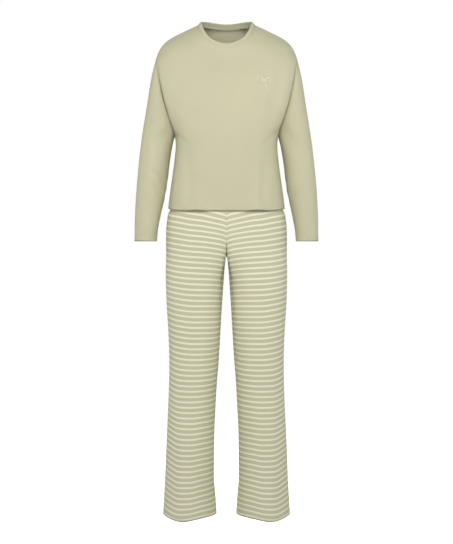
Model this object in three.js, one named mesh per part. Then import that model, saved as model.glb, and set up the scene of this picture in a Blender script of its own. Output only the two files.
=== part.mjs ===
// A two-piece pyjama set in cotton jersey, filled out as when it is worn, and empty inside:
// a boxy long-sleeved top with dropped shoulders and a crew neck, over straight striped trousers.
// Millimetres, +Z up, the front towards -Y. The wearer's right is at -X.
// The origin lies midway between the two points where the shoulder seams meet the neckband.
import * as THREE from "three";

// Cloth and sewing
const JERSEY = 1.6; // wall of the body, sleeves and legs
const NECKBAND_CLOTH = 2.4; // the neckband is folded double
const WAISTBAND_CLOTH = 3; // doubled jersey round an elastic
const TAPE_CLOTH = 1;
const SEAM_GAP = 0.3; // between two pieces that are sewn together
const PANEL_SETBACK = 0.17; // of a panel's edge from its seam line
const SLEEVE_SETBACK = { x: 0.76, z: 0.3 }; // of the sleeve's upper edge from the armhole seam line
const BAND_SETBACK = 0.48; // of the neckband's lower edge from the neck seam line

// Heights that the tables below share
const SHOULDER_Z = 0.5; // the shoulder seam's upper end, at the neckband
const SHOULDER_TIP_Z = -95; // its lower end, at the top of the armhole
const UNDERARM_Z = -330;
const SIDE_HEM_Z = -547;
const CROTCH_Z = -692;
const TROUSER_TOP_Z = -460; // where the waistband is sewn on
const WAISTBAND_TOP_Z = -424;
const CROTCH_RADIUS = 4; // the inseam rounds over at its top to meet the other leg

// The top's body from the hem up. halfWidth reaches the side seam, and above the underarm the
// armhole seam. front and back are the cloth's reach from the middle, round its squareness.
const BODY = [
  { z: -560, halfWidth: 175, front: 113.8, back: 115, round: 2.8 },
  { z: SIDE_HEM_Z, halfWidth: 174.3, front: 114.2, back: 114.3, round: 2.8 },
  { z: -510, halfWidth: 170.4, front: 115.5, back: 112, round: 2.8 },
  { z: -450, halfWidth: 161.7, front: 120, back: 108, round: 2.8 },
  { z: -400, halfWidth: 155.2, front: 124.5, back: 106, round: 2.75 },
  { z: -360, halfWidth: 151.8, front: 127.5, back: 106, round: 2.7 },
  { z: UNDERARM_Z, halfWidth: 154.5, front: 128.5, back: 108, round: 2.7 },
  { z: -270, halfWidth: 173, front: 125, back: 111, round: 2.75 },
  { z: -211, halfWidth: 189.5, front: 117, back: 111, round: 2.8 },
  { z: -160, halfWidth: 200, front: 108, back: 107, round: 2.9 },
  { z: SHOULDER_TIP_Z, halfWidth: 209.5, front: 93, back: 97, round: 3 },
  { z: -40, halfWidth: 213, front: 79, back: 84, round: 3 },
  { z: 10, halfWidth: 215, front: 62, back: 73, round: 3 },
];
const SIDE_SEAM_Y = 3;
const HEM_DIP = { front: 10, back: 10 }; // the hem hangs lower in the middle than at the side seams
const HEM_DIP_POWER = 8;
// Soft flutes that lift the front hem off the trousers, one each side of the middle
const HEM_FLUTE = { x: 92, width: 34, lift: 8, fadeFrom: -540, fadeTo: -410 };
const HEM_FLUTE_RISE = { height: 2, width: 21 }; // how far the hem's edge rises at a flute

// Shoulder seam and neck
const NECK_HALF_WIDTH = 86;
const NECK_DROP = { front: 80.5, back: 0.5 };
const NECK_POWER = 1.25; // above 1 draws the round neck slightly towards a V
const NECK_STAND = { height: 3.5, power: 2 }; // the back neck rises on each side of the middle
const SHOULDER_SLOPE = 0.475;
const SHOULDER_BEND = { drop: 36.8, power: 8 }; // how the seam turns down over the upper arm
const SHOULDER_ROUNDING = { front: 90, back: 34 }; // how far below the seam the cloth turns forward
const NECKBAND = { width: 16, sideLean: 42, frontLean: 18, backLean: 30 };
const NECK_TAPE_WIDTH = 6;
const NECK_TAPE_CLEARANCE = 1.1;

// Armhole, an upright oval that leans in towards the underarm
const ARMHOLE = { halfDepth: 60, round: 2.4, bowFade: 0.3 };
const ARMHOLE_EASE = { reach: 45, power: 14 }; // the body swells towards the armhole from further off
const ARMHOLE_MIDDLE_Z = (SHOULDER_TIP_Z + UNDERARM_Z) / 2;
const ARMHOLE_HALF_HEIGHT = (SHOULDER_TIP_Z - UNDERARM_Z) / 2;

// The right sleeve from the armhole to the cuff. Each row is a ring round the arm: where it meets
// the outer line, where it meets the inner line, its half depth, the y of its middle, its squareness.
const SLEEVE = [
  {
    along: 0,
    outX: 209.5,
    outZ: SHOULDER_TIP_Z,
    inX: 154.5,
    inZ: UNDERARM_Z,
    depth: 60,
    midY: 3,
    round: 2.4,
  },
  { along: 0.1, outX: 224.5, outZ: -156, inX: 161.5, inZ: -357, depth: 63.5, midY: 2, round: 2.3 },
  { along: 0.25, outX: 236.7, outZ: -232, inX: 170, inZ: -408, depth: 61.5, midY: 1, round: 2.2 },
  { along: 0.5, outX: 257.7, outZ: -370, inX: 179, inZ: -487, depth: 53, midY: -3, round: 2.1 },
  { along: 0.75, outX: 270.5, outZ: -507, inX: 196, inZ: -566, depth: 44, midY: -8, round: 2.05 },
  { along: 0.9, outX: 274, outZ: -590, inX: 204.8, inZ: -613, depth: 39, midY: -11, round: 2 },
  { along: 1, outX: 274.3, outZ: -645, inX: 207.9, inZ: -645, depth: 36.5, midY: -13, round: 2 },
];
const ELBOW_CREASE = { along: 0.42, width: 0.05, depth: 1.5 }; // a soft fold inside the elbow

// The right trouser leg and hip from the hem up. outer and inner are the seams' distances from the
// middle, front and back the cloth's reach, and round is its squareness.
const TROUSERS = [
  { z: -1463, outer: 191.3, inner: 30, front: 84, back: 97, round: 1.85 },
  { z: -1422, outer: 189, inner: 32, front: 82, back: 95, round: 1.85 },
  { z: -1347, outer: 184.5, inner: 37.2, front: 79, back: 92, round: 1.9 },
  { z: -1242, outer: 180.5, inner: 36.6, front: 77, back: 89, round: 2 },
  { z: -1122, outer: 175, inner: 31.5, front: 77, back: 86, round: 2.1 },
  { z: -1002, outer: 172, inner: 23.4, front: 81, back: 86, round: 2.2 },
  { z: -912, outer: 175, inner: 17.8, front: 85, back: 89, round: 2.25 },
  { z: -822, outer: 180.3, inner: 12.2, front: 90, back: 96, round: 2.35 },
  { z: -732, outer: 182, inner: 7.3, front: 97, back: 107, round: 2.45 },
  { z: CROTCH_Z, outer: 180.8, inner: CROTCH_RADIUS, front: 102, back: 113, round: 2.55 },
  { z: -642, outer: 181.2, inner: CROTCH_RADIUS, front: 107, back: 117, round: 2.65 },
  { z: -600, outer: 180, inner: CROTCH_RADIUS, front: 110, back: 115, round: 2.65 },
  { z: -575, outer: 177.2, inner: CROTCH_RADIUS, front: 111, back: 112.5, round: 2.65 },
  { z: -557, outer: 174.3, inner: CROTCH_RADIUS, front: 111.2, back: 110.5, round: 2.6 },
  { z: SIDE_HEM_Z, outer: 171.8, inner: CROTCH_RADIUS, front: 111, back: 109, round: 2.6 },
  { z: -500, outer: 161, inner: CROTCH_RADIUS, front: 108, back: 102, round: 2.35 },
  { z: TROUSER_TOP_Z, outer: 144, inner: CROTCH_RADIUS, front: 102, back: 97, round: 2.2 },
  { z: WAISTBAND_TOP_Z, outer: 134, inner: CROTCH_RADIUS, front: 96, back: 92, round: 2.15 },
];
const OUTSEAM_Y = 4;
const CROTCH_CURVE = { rise: 75, round: 2.2 }; // the centre seam's curve from the crotch upwards
const HIP_BLEND = { below: 120, power: 4 }; // how far below the crotch the outer side turns into the hip
const LEG_HEM_DIP = { depth: 10.5, at: 0.42, width: 0.21 }; // where across a panel its hem hangs lowest

// How finely the pieces are divided
const NECK_COLUMNS = 6; // across half of the neckline
const SHOULDER_COLUMNS = 8; // along one shoulder seam
const BODY_ROWS = 6; // from the hem to the underarm
const ARMHOLE_ROWS = 10;
const SLEEVE_ROWS = 12;
const LEG_COLUMNS = 12; // across one trouser panel
const LEG_ROWS = 12; // from the hem to the crotch
const INSEAM_ROWS = 3; // round the inseam's top
const CROTCH_ROWS = 6; // up the curve of the centre seam
const HIP_ROWS = 2; // from there to the level of the top's side hem, and from that to the waistband
const SEAM_SAMPLES = 400;

const jersey = new THREE.MeshStandardMaterial({ color: 0xcfccad, roughness: 0.9, metalness: 0 });
const stripedJersey = new THREE.MeshStandardMaterial({ color: 0xc9c7a4, roughness: 0.9, metalness: 0 });
const tapeCloth = new THREE.MeshStandardMaterial({ color: 0xd3cfae, roughness: 0.9, metalness: 0 });

const mix = THREE.MathUtils.lerp;
const clamp01 = (value) => THREE.MathUtils.clamp(value, 0, 1);
const power = (value, exponent) => Math.sign(value) * Math.abs(value) ** exponent;

// Slope of a table's column at row i, flat at a turning point so that the curve never overshoots.
function slopeAt(table, key, column, i) {
  const rise = (k) => (table[k + 1][column] - table[k][column]) / (table[k + 1][key] - table[k][key]);
  if (i === 0) return rise(0);
  if (i === table.length - 1) return rise(i - 1);
  const [before, after] = [rise(i - 1), rise(i)];
  return before * after <= 0 ? 0 : (2 * before * after) / (before + after);
}

// A column of a table, read on a smooth curve through its rows. The key column rises or falls.
function read(table, key, column, at) {
  const rising = table[1][key] > table[0][key];
  let i = 0;
  while (i < table.length - 2 && (rising ? at > table[i + 1][key] : at < table[i + 1][key])) i++;
  const span = table[i + 1][key] - table[i][key];
  const t = clamp01((at - table[i][key]) / span);
  const [low, high] = [table[i][column], table[i + 1][column]];
  const lowSlope = slopeAt(table, key, column, i) * span;
  const highSlope = slopeAt(table, key, column, i + 1) * span;
  const [t2, t3] = [t * t, t * t * t];
  const between = low * (2 * t3 - 3 * t2 + 1) + high * (3 * t2 - 2 * t3);
  return between + lowSlope * (t3 - 2 * t2 + t) + highSlope * (t3 - t2);
}

// Parameters from 0 to 1 that cut a curve into equal lengths.
function evenSteps(curve, count) {
  const lengths = [0];
  for (let k = 1; k <= SEAM_SAMPLES; k++) {
    lengths.push(lengths[k - 1] + curve((k - 1) / SEAM_SAMPLES).distanceTo(curve(k / SEAM_SAMPLES)));
  }
  const total = lengths[SEAM_SAMPLES];
  return Array.from({ length: count + 1 }, (_, step) => {
    const k = lengths.findIndex((length) => length >= (total * step) / count - 1e-9);
    return k / SEAM_SAMPLES;
  });
}

// Outward normals of a grid of points: rows upwards, columns anticlockwise seen from above.
function normalsOf(grid, around = false) {
  const [rows, columns] = [grid.length, grid[0].length];
  return grid.map((row, i) =>
    row.map((_, j) => {
      const left = around ? (j + columns - 1) % columns : Math.max(j - 1, 0);
      const right = around ? (j + 1) % columns : Math.min(j + 1, columns - 1);
      const across = row[right].clone().sub(row[left]);
      const upwards = grid[Math.min(i + 1, rows - 1)][j].clone().sub(grid[Math.max(i - 1, 0)][j]);
      return across.cross(upwards).normalize();
    }),
  );
}

// Turns a normal square to the way that runs across a seam, so that both walls end flush there.
function squareTo(normal, across) {
  return normal.addScaledVector(across, -normal.dot(across) / across.lengthSq()).normalize();
}

// A closed cloth wall behind a grid of outer points.
function wall({ outer, thickness, around = false, normals = normalsOf(outer, around) }) {
  const [rows, columns] = [outer.length, outer[0].length];
  const inner = outer.map((row, i) =>
    row.map((point, j) => point.clone().addScaledVector(normals[i][j], -thickness)),
  );
  const positions = [...outer.flat(), ...inner.flat()].flatMap((point) => [point.x, point.y, point.z]);
  const outside = (i, j) => i * columns + (j % columns);
  const inside = (i, j) => rows * columns + outside(i, j);
  const faces = [];
  const quad = (a, b, c, d) => faces.push(a, b, c, a, c, d);
  const lastColumn = around ? columns : columns - 1;
  for (let i = 0; i < rows - 1; i++) {
    for (let j = 0; j < lastColumn; j++) {
      quad(outside(i, j), outside(i, j + 1), outside(i + 1, j + 1), outside(i + 1, j));
      quad(inside(i, j), inside(i + 1, j), inside(i + 1, j + 1), inside(i, j + 1));
    }
    if (around) continue;
    quad(outside(i, 0), outside(i + 1, 0), inside(i + 1, 0), inside(i, 0));
    const j = lastColumn;
    quad(outside(i, j), inside(i, j), inside(i + 1, j), outside(i + 1, j));
  }
  for (let j = 0; j < lastColumn; j++) {
    quad(outside(0, j), inside(0, j), inside(0, j + 1), outside(0, j + 1));
    quad(outside(rows - 1, j), outside(rows - 1, j + 1), inside(rows - 1, j + 1), inside(rows - 1, j));
  }
  const geometry = new THREE.BufferGeometry();
  geometry.setAttribute("position", new THREE.Float32BufferAttribute(positions, 3));
  geometry.setIndex(faces);
  return geometry;
}

// Draws a panel's sewn top and side edges back from their seam lines, towards the next points.
function drawBack(grid) {
  const pull = (point, towards) => point.add(towards.clone().sub(point).setLength(PANEL_SETBACK));
  const last = grid.length - 1;
  grid[last].forEach((point, j) => pull(point, grid[last - 1][j]));
  grid.forEach((row) => {
    pull(row[0], row[1]);
    pull(row[row.length - 1], row[row.length - 2]);
  });
  return grid;
}

const shoulderTipX = read(BODY, "z", "halfWidth", SHOULDER_TIP_Z);

// The top's shoulder line at x. Over the neck it goes on as a low arch, to shape the cloth beside it.
function shoulderZ(x) {
  const reach = Math.abs(x) - NECK_HALF_WIDTH;
  if (reach <= 0) {
    return SHOULDER_Z + (SHOULDER_SLOPE * (NECK_HALF_WIDTH ** 2 - x * x)) / (2 * NECK_HALF_WIDTH);
  }
  const bend = SHOULDER_BEND.drop * (reach / (shoulderTipX - NECK_HALF_WIDTH)) ** SHOULDER_BEND.power;
  return SHOULDER_Z - SHOULDER_SLOPE * reach - bend;
}

// How deep the armhole seam lies in front of or behind its middle at height z.
function armholeDepth(z) {
  const share = Math.min(1, Math.abs(z - ARMHOLE_MIDDLE_Z) / ARMHOLE_HALF_HEIGHT);
  return ARMHOLE.halfDepth * (1 - share ** ARMHOLE.round) ** (1 / ARMHOLE.round);
}

// A point of the top's body. share is the part of the half width, facing is "front" or "back".
function bodyPoint(facing, share, z) {
  const way = facing === "front" ? -1 : 1;
  const x = share * read(BODY, "z", "halfWidth", z);
  const round = read(BODY, "z", "round", z);
  const belowSeam = clamp01((shoulderZ(x) - z) / SHOULDER_ROUNDING[facing]);
  const overShoulder = Math.sqrt(1 - (1 - belowSeam) ** 2);
  const offMiddle = (z - ARMHOLE_MIDDLE_Z) / (ARMHOLE_HALF_HEIGHT + ARMHOLE_EASE.reach);
  const eased = ARMHOLE.halfDepth * overShoulder * Math.max(0, 1 - offMiddle ** 2);
  const seamY = SIDE_SEAM_Y + way * mix(eased, armholeDepth(z), Math.abs(share) ** ARMHOLE_EASE.power);
  const acrossBody = Math.max(0, 1 - Math.abs(share) ** round) ** (1 / round);
  let y = seamY + (way * read(BODY, "z", facing, z) - seamY) * acrossBody * overShoulder;
  if (facing === "front") {
    const fade = clamp01((HEM_FLUTE.fadeTo - z) / (HEM_FLUTE.fadeTo - HEM_FLUTE.fadeFrom)) ** 2;
    y -= HEM_FLUTE.lift * fade * Math.exp(-(((Math.abs(x) - HEM_FLUTE.x) / HEM_FLUTE.width) ** 2));
  }
  return new THREE.Vector3(x, y, z);
}

// Where a column of the body ends above: on the neckline near the middle, else on the shoulder seam.
const shoulderCurve = (u) => {
  const x = mix(NECK_HALF_WIDTH, shoulderTipX, u);
  return new THREE.Vector3(x, SIDE_SEAM_Y, shoulderZ(x));
};
const shoulderSteps = evenSteps(shoulderCurve, SHOULDER_COLUMNS);
function upperEnd(facing, column) {
  if (column > NECK_COLUMNS) return shoulderCurve(shoulderSteps[column - NECK_COLUMNS]);
  const angle = ((column / NECK_COLUMNS) * Math.PI) / 2;
  const drop = NECK_DROP[facing] * Math.max(0, Math.cos(angle)) ** NECK_POWER;
  const stand = facing === "back" ? NECK_STAND.height * Math.sin(2 * angle) ** NECK_STAND.power : 0;
  return new THREE.Vector3(NECK_HALF_WIDTH * Math.sin(angle), 0, SHOULDER_Z - drop + stand);
}

// Shares of the half width, evenly spaced along the cloth at the underarm, from the middle out.
const HALF_COLUMNS = NECK_COLUMNS + SHOULDER_COLUMNS;
const shareAt = (u) => Math.sin((u * Math.PI) / 2);
const columnShares = evenSteps((u) => bodyPoint("front", shareAt(u), UNDERARM_Z), HALF_COLUMNS).map(shareAt);

// How far up the armhole a row lies, closer together where the seam runs across at its ends.
function armholeShare(row) {
  const turn = Math.cos((row / ARMHOLE_ROWS) * Math.PI);
  return (1 - power(turn, 2 / ARMHOLE.round)) / 2;
}

// How far up from the underarm a row lies away from the armhole: half the rows turn over the shoulder.
function shoulderShare(facing, row, height) {
  const turnStart = 1 - SHOULDER_ROUNDING[facing] / height;
  const half = ARMHOLE_ROWS / 2;
  if (row <= half) return (turnStart * row) / half;
  return mix(turnStart, 1, Math.sin(((row / half - 1) * Math.PI) / 2));
}

// Half a body panel's column from hem to shoulder or neck, on the +X side.
function bodyColumn(facing, column) {
  const share = columnShares[column];
  let hemZ = SIDE_HEM_Z - HEM_DIP[facing] * (1 - share ** HEM_DIP_POWER);
  if (facing === "front") {
    const offFlute = (share * read(BODY, "z", "halfWidth", hemZ) - HEM_FLUTE.x) / HEM_FLUTE_RISE.width;
    hemZ += HEM_FLUTE_RISE.height * Math.exp(-(offFlute ** 2));
  }
  const end = upperEnd(facing, column);
  const endShare = column === HALF_COLUMNS ? 1 : end.x / read(BODY, "z", "halfWidth", end.z);
  const points = [];
  for (let row = 0; row < BODY_ROWS; row++) {
    points.push(bodyPoint(facing, share, mix(hemZ, UNDERARM_Z, row / BODY_ROWS)));
  }
  for (let row = 0; row <= ARMHOLE_ROWS; row++) {
    const inland = shoulderShare(facing, row, end.z - UNDERARM_Z);
    const rise = mix(inland, armholeShare(row), share ** ARMHOLE_EASE.power);
    points.push(bodyPoint(facing, mix(share, endShare, rise), mix(UNDERARM_Z, end.z, rise)));
  }
  return points;
}

function bodyGrid(facing) {
  const columns = [];
  for (let k = -HALF_COLUMNS; k <= HALF_COLUMNS; k++) {
    const points = bodyColumn(facing, Math.abs(k));
    columns.push(k < 0 ? points.map((point) => point.setX(-point.x)) : points);
  }
  if (facing === "back") columns.reverse();
  return columns[0].map((_, row) => columns.map((points) => points[row]));
}

const frontToBack = new THREE.Vector3(0, 1, 0);
const rightToLeft = new THREE.Vector3(1, 0, 0);

// How far the armhole seam bows out past a straight line, at a share of its height.
function armholeBow(share) {
  const straight = mix(SLEEVE[0].inX, SLEEVE[0].outX, share);
  return read(BODY, "z", "halfWidth", mix(UNDERARM_Z, SHOULDER_TIP_Z, share)) - straight;
}

// The right sleeve as rings from the cuff up to the armhole, anticlockwise seen from above.
function sleevePoint(along, angle) {
  const at = (column) => read(SLEEVE, "along", column, along);
  const outer = new THREE.Vector3(-at("outX"), 0, at("outZ"));
  const inner = new THREE.Vector3(-at("inX"), 0, at("inZ"));
  const across = power(Math.cos(angle), 2 / at("round"));
  const deep = power(Math.sin(angle), 2 / at("round"));
  const point = outer.clone().lerp(inner, (1 - across) / 2);
  point.x -= armholeBow((1 + across) / 2) * clamp01(1 - along / ARMHOLE.bowFade) ** 2;
  const crease = ELBOW_CREASE.depth * Math.exp(-(((along - ELBOW_CREASE.along) / ELBOW_CREASE.width) ** 2));
  point.x -= crease * clamp01(-across) ** 3;
  point.y = at("midY") + at("depth") * deep;
  return point;
}

function sleeve() {
  const grid = [];
  for (let row = SLEEVE_ROWS; row >= 0; row--) {
    const ring = [];
    for (let k = 0; k < 2 * ARMHOLE_ROWS; k++) {
      ring.push(sleevePoint(row / SLEEVE_ROWS, (-k * Math.PI) / ARMHOLE_ROWS));
    }
    grid.push(ring);
  }
  const setback = new THREE.Vector3(-SLEEVE_SETBACK.x, 0, -SLEEVE_SETBACK.z);
  grid[grid.length - 1].forEach((point) => point.add(setback));
  return wall({ outer: grid, thickness: JERSEY, around: true });
}

// The neckline seam, from the right shoulder over the front to the left one and back behind, and
// the body's normals there.
const bodyGrids = { front: bodyGrid("front"), back: bodyGrid("back") };
const bodyNormals = { front: normalsOf(bodyGrids.front), back: normalsOf(bodyGrids.back) };
const alongNeck = (grids) => {
  const part = (grid) => grid[grid.length - 1].slice(SHOULDER_COLUMNS, SHOULDER_COLUMNS + 2 * NECK_COLUMNS);
  return [...part(grids.front), ...part(grids.back)];
};
const neckSeam = alongNeck(bodyGrids);

// The way the neckband rises at each point: up, and in towards the neck.
const bandRise = neckSeam.map((_, k) => {
  const count = neckSeam.length;
  const along = neckSeam[(k + 1) % count].clone().sub(neckSeam[(k + count - 1) % count]);
  const inwards = new THREE.Vector3(-along.y, along.x, 0).normalize();
  const endLean = inwards.y > 0 ? NECKBAND.frontLean : NECKBAND.backLean;
  const lean = THREE.MathUtils.degToRad(mix(NECKBAND.sideLean, endLean, inwards.y ** 2));
  return inwards.multiplyScalar(Math.sin(lean)).setZ(Math.cos(lean));
});
const bandLine = (rise) => neckSeam.map((point, k) => point.clone().addScaledVector(bandRise[k], rise));
const bandGrid = [bandLine(BAND_SETBACK), bandLine(NECKBAND.width / 2), bandLine(NECKBAND.width)];

// One normal for both sides of the neck seam, halfway between the body's and the band's.
const bandNormals = normalsOf(bandGrid, true);
const neckNormals = alongNeck(bodyNormals).map((normal, k) => {
  const shared = normal.clone().add(bandNormals[0][k]).normalize();
  return k % (2 * NECK_COLUMNS) === 0 ? squareTo(shared, frontToBack) : shared;
});
bandNormals[0] = neckNormals;

function bodyPanel(facing) {
  const grid = drawBack(bodyGrids[facing]);
  const normals = bodyNormals[facing];
  const [lastRow, lastColumn] = [grid.length - 1, grid[0].length - 1];
  for (let i = 0; i <= BODY_ROWS; i++) {
    squareTo(normals[i][0], frontToBack);
    squareTo(normals[i][lastColumn], frontToBack);
  }
  for (let j = 0; j <= lastColumn; j++) {
    const step = j - SHOULDER_COLUMNS;
    const onNeck = step >= 0 && step <= 2 * NECK_COLUMNS;
    const k = (step + (facing === "back" ? 2 * NECK_COLUMNS : 0)) % neckSeam.length;
    if (onNeck) normals[lastRow][j] = neckNormals[k];
    else squareTo(normals[lastRow][j], frontToBack);
  }
  return wall({ outer: grid, thickness: JERSEY, normals });
}

function neckband() {
  return wall({ outer: bandGrid, thickness: NECKBAND_CLOTH, around: true, normals: bandNormals });
}

// A narrow tape inside the back neck, over the seam from shoulder to shoulder.
function neckTape() {
  const first = 2 * NECK_COLUMNS;
  const inside = (rise) =>
    neckSeam.slice(first + 1).map((point, step) => {
      const k = first + 1 + step;
      return point
        .clone()
        .addScaledVector(bandRise[k], rise)
        .addScaledVector(neckNormals[k], -(NECKBAND_CLOTH + SEAM_GAP) * NECK_TAPE_CLEARANCE);
    });
  return wall({ outer: [inside(-NECK_TAPE_WIDTH / 2), inside(NECK_TAPE_WIDTH / 2)], thickness: TAPE_CLOTH });
}

// One point of the right half of the trousers. angle runs from the outseam, 0, to the inner edge, PI.
function trouserPoint(facing, angle, z) {
  const way = facing === "front" ? -1 : 1;
  const at = (column) => read(TROUSERS, "z", column, z);
  const reach = at(facing) - way * OUTSEAM_Y;
  const [outer, inner, round] = [at("outer"), at("inner"), at("round")];
  const [across, legDeep] = [power(Math.cos(angle), 2 / round), power(Math.sin(angle), 2 / round)];
  const innerShare = (angle / Math.PI) ** HIP_BLEND.power;
  const inseamTurn = 1 - Math.sqrt(1 - clamp01((z - CROTCH_Z) / CROTCH_RADIUS + 1) ** 2);
  const leg = mix(inner, outer, (1 + across) / 2);
  const x = leg - CROTCH_RADIUS * inseamTurn * innerShare ** 2;
  const hipDeep = Math.max(0, 1 - (Math.max(0, x) / outer) ** round) ** (1 / round);
  const below = HIP_BLEND.below * (1 - innerShare);
  const rise = clamp01((z - CROTCH_Z + below) / (CROTCH_CURVE.rise + below));
  const centreSeam = (1 - (1 - rise) ** CROTCH_CURVE.round) ** (1 / CROTCH_CURVE.round);
  const hipShare = mix(rise * rise * (3 - 2 * rise), centreSeam, innerShare);
  return new THREE.Vector3(-x, OUTSEAM_Y + way * reach * mix(legDeep, hipDeep, hipShare), z);
}

function trouserHeights() {
  const heights = [];
  const roundZ = CROTCH_Z - CROTCH_RADIUS;
  for (let i = 0; i < LEG_ROWS; i++) heights.push(mix(TROUSERS[0].z, roundZ, i / LEG_ROWS));
  for (let i = 0; i < INSEAM_ROWS; i++) {
    heights.push(roundZ + CROTCH_RADIUS * Math.sin((i * Math.PI) / 2 / INSEAM_ROWS));
  }
  for (let i = 0; i < CROTCH_ROWS; i++) heights.push(CROTCH_Z + CROTCH_CURVE.rise * (i / CROTCH_ROWS) ** 2);
  const hipZ = CROTCH_Z + CROTCH_CURVE.rise;
  for (let i = 0; i < HIP_ROWS; i++) heights.push(mix(hipZ, SIDE_HEM_Z, i / HIP_ROWS));
  for (let i = 0; i <= HIP_ROWS; i++) heights.push(mix(SIDE_HEM_Z, TROUSER_TOP_Z, i / HIP_ROWS));
  return heights;
}

// A trouser panel's outer points, each row from the outseam to the inseam or the centre seam.
function trouserGrid(facing) {
  return trouserHeights().map((z, i) => {
    const row = [];
    for (let k = 0; k <= LEG_COLUMNS; k++) {
      const angle = (k / LEG_COLUMNS) * Math.PI;
      const point = trouserPoint(facing, angle, z);
      const offLowest = (k / LEG_COLUMNS - LEG_HEM_DIP.at) / LEG_HEM_DIP.width;
      if (i === 0) point.z -= LEG_HEM_DIP.depth * Math.exp(-(offLowest ** 2));
      row.push(point);
    }
    return facing === "front" ? row : row.reverse();
  });
}

function trouserPanel(facing) {
  const grid = trouserGrid(facing);
  const normals = normalsOf(grid);
  const [outseam, innerEdge] = facing === "front" ? [0, LEG_COLUMNS] : [LEG_COLUMNS, 0];
  trouserHeights().forEach((z, i) => {
    squareTo(normals[i][outseam], frontToBack);
    if (z >= CROTCH_Z) squareTo(normals[i][innerEdge], rightToLeft);
    if (z <= CROTCH_Z) squareTo(normals[i][innerEdge], frontToBack);
  });
  drawBack(grid);
  grid.flat().forEach((point) => point.setX(Math.min(point.x, -PANEL_SETBACK)));
  return wall({ outer: grid, thickness: JERSEY, normals });
}

function waistband() {
  // from the right outseam over the front to the left one, and back behind
  const ring = (z) =>
    Array.from({ length: 4 * LEG_COLUMNS }, (_, k) => {
      const [quarter, step] = [Math.floor(k / LEG_COLUMNS), k % LEG_COLUMNS];
      const share = (quarter % 2 === 0 ? step : LEG_COLUMNS - step) / LEG_COLUMNS;
      const point = trouserPoint(quarter < 2 ? "front" : "back", share * Math.PI, z);
      return quarter === 1 || quarter === 2 ? point.setX(-point.x) : point;
    });
  return wall({
    outer: [ring(TROUSER_TOP_Z + SEAM_GAP), ring(WAISTBAND_TOP_Z)],
    thickness: WAISTBAND_CLOTH,
    around: true,
  });
}

const pyjamaSet = new THREE.Group();

// Adds one sewn piece. A left piece is the right one seen in a mirror.
function add(name, geometry, material, mirrored = false) {
  const mesh = new THREE.Mesh(geometry, material);
  mesh.name = name;
  if (mirrored) mesh.scale.x = -1;
  pyjamaSet.add(mesh);
}

add("top_front", bodyPanel("front"), jersey);
add("top_back", bodyPanel("back"), jersey);
add("sleeve_right", sleeve(), jersey);
add("sleeve_left", sleeve(), jersey, true);
add("neckband", neckband(), jersey);
add("neck_tape", neckTape(), tapeCloth);
add("trouser_front_right", trouserPanel("front"), stripedJersey);
add("trouser_front_left", trouserPanel("front"), stripedJersey, true);
add("trouser_back_right", trouserPanel("back"), stripedJersey);
add("trouser_back_left", trouserPanel("back"), stripedJersey, true);
add("waistband", waistband(), stripedJersey);

export default pyjamaSet;
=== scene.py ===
import bisect
import math
import random

import bmesh
import bpy
from mathutils import Matrix, Vector, kdtree, noise


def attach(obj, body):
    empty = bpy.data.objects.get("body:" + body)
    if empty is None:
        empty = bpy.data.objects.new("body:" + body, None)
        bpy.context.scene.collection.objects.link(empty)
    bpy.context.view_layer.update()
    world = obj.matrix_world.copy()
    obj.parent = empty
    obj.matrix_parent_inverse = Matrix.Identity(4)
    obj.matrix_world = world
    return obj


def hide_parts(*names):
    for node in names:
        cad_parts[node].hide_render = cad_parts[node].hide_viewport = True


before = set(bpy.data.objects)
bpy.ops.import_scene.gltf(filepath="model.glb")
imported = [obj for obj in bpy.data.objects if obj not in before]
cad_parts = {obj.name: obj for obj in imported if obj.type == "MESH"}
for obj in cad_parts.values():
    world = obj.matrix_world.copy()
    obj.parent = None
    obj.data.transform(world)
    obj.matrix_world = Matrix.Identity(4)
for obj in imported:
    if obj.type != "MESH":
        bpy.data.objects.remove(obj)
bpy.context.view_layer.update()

FRONT, BACK = -1, 1
RIGHT, LEFT = -1, 1

# Cloth and sewing
JERSEY = 0.0011
FOLD_RADIUS = 0.0013  # of a turned hem's edge
HEM_DEPTH = 0.021
SEAM_VALLEY = {"depth": 0.0014, "width": 0.0028}
SEAM_SOFTNESS = {"armhole": 0.6, "shoulder": 0.5, "leg": 0.7}  # shares of the valley's depth
HEM_STEP = 0.00035  # how far a hem's double cloth stands out
SAMPLES = 400

# Heights that the tables below share
SHOULDER_Z = 0.0005
SHOULDER_TIP_Z = -0.095
UNDERARM_Z = -0.330
SIDE_HEM_Z = -0.547
CROTCH_Z = -0.692
TROUSER_TOP_Z = -0.460
WAISTBAND_TOP_Z = -0.424
CROTCH_RADIUS = 0.0025


def table(names, *rows):
    """A table of sizes as a dictionary of its columns."""
    return {name: [row[k] for row in rows] for k, name in enumerate(names.split())}


# The top's body from the hem up
BODY = table(
    "z half_width front back round",
    (-0.560, 0.175, 0.1138, 0.115, 2.8),
    (SIDE_HEM_Z, 0.1743, 0.1142, 0.1143, 2.8),
    (-0.510, 0.1704, 0.1155, 0.112, 2.8),
    (-0.450, 0.1617, 0.120, 0.108, 2.8),
    (-0.400, 0.1552, 0.1245, 0.106, 2.75),
    (-0.360, 0.1518, 0.1275, 0.106, 2.7),
    (UNDERARM_Z, 0.1545, 0.1285, 0.108, 2.7),
    (-0.270, 0.173, 0.125, 0.111, 2.75),
    (-0.211, 0.1895, 0.117, 0.111, 2.8),
    (-0.160, 0.200, 0.108, 0.107, 2.9),
    (SHOULDER_TIP_Z, 0.2095, 0.093, 0.097, 3),
    (-0.040, 0.213, 0.079, 0.084, 3),
    (0.010, 0.215, 0.062, 0.073, 3),
)
SIDE_SEAM_Y = 0.003
HEM_DIP = {FRONT: 0.010, BACK: 0.010}
HEM_DIP_POWER = 8
HEM_FLUTE = {"x": 0.092, "width": 0.034, "lift": 0.008, "fade_from": -0.540, "fade_to": -0.410}
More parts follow.
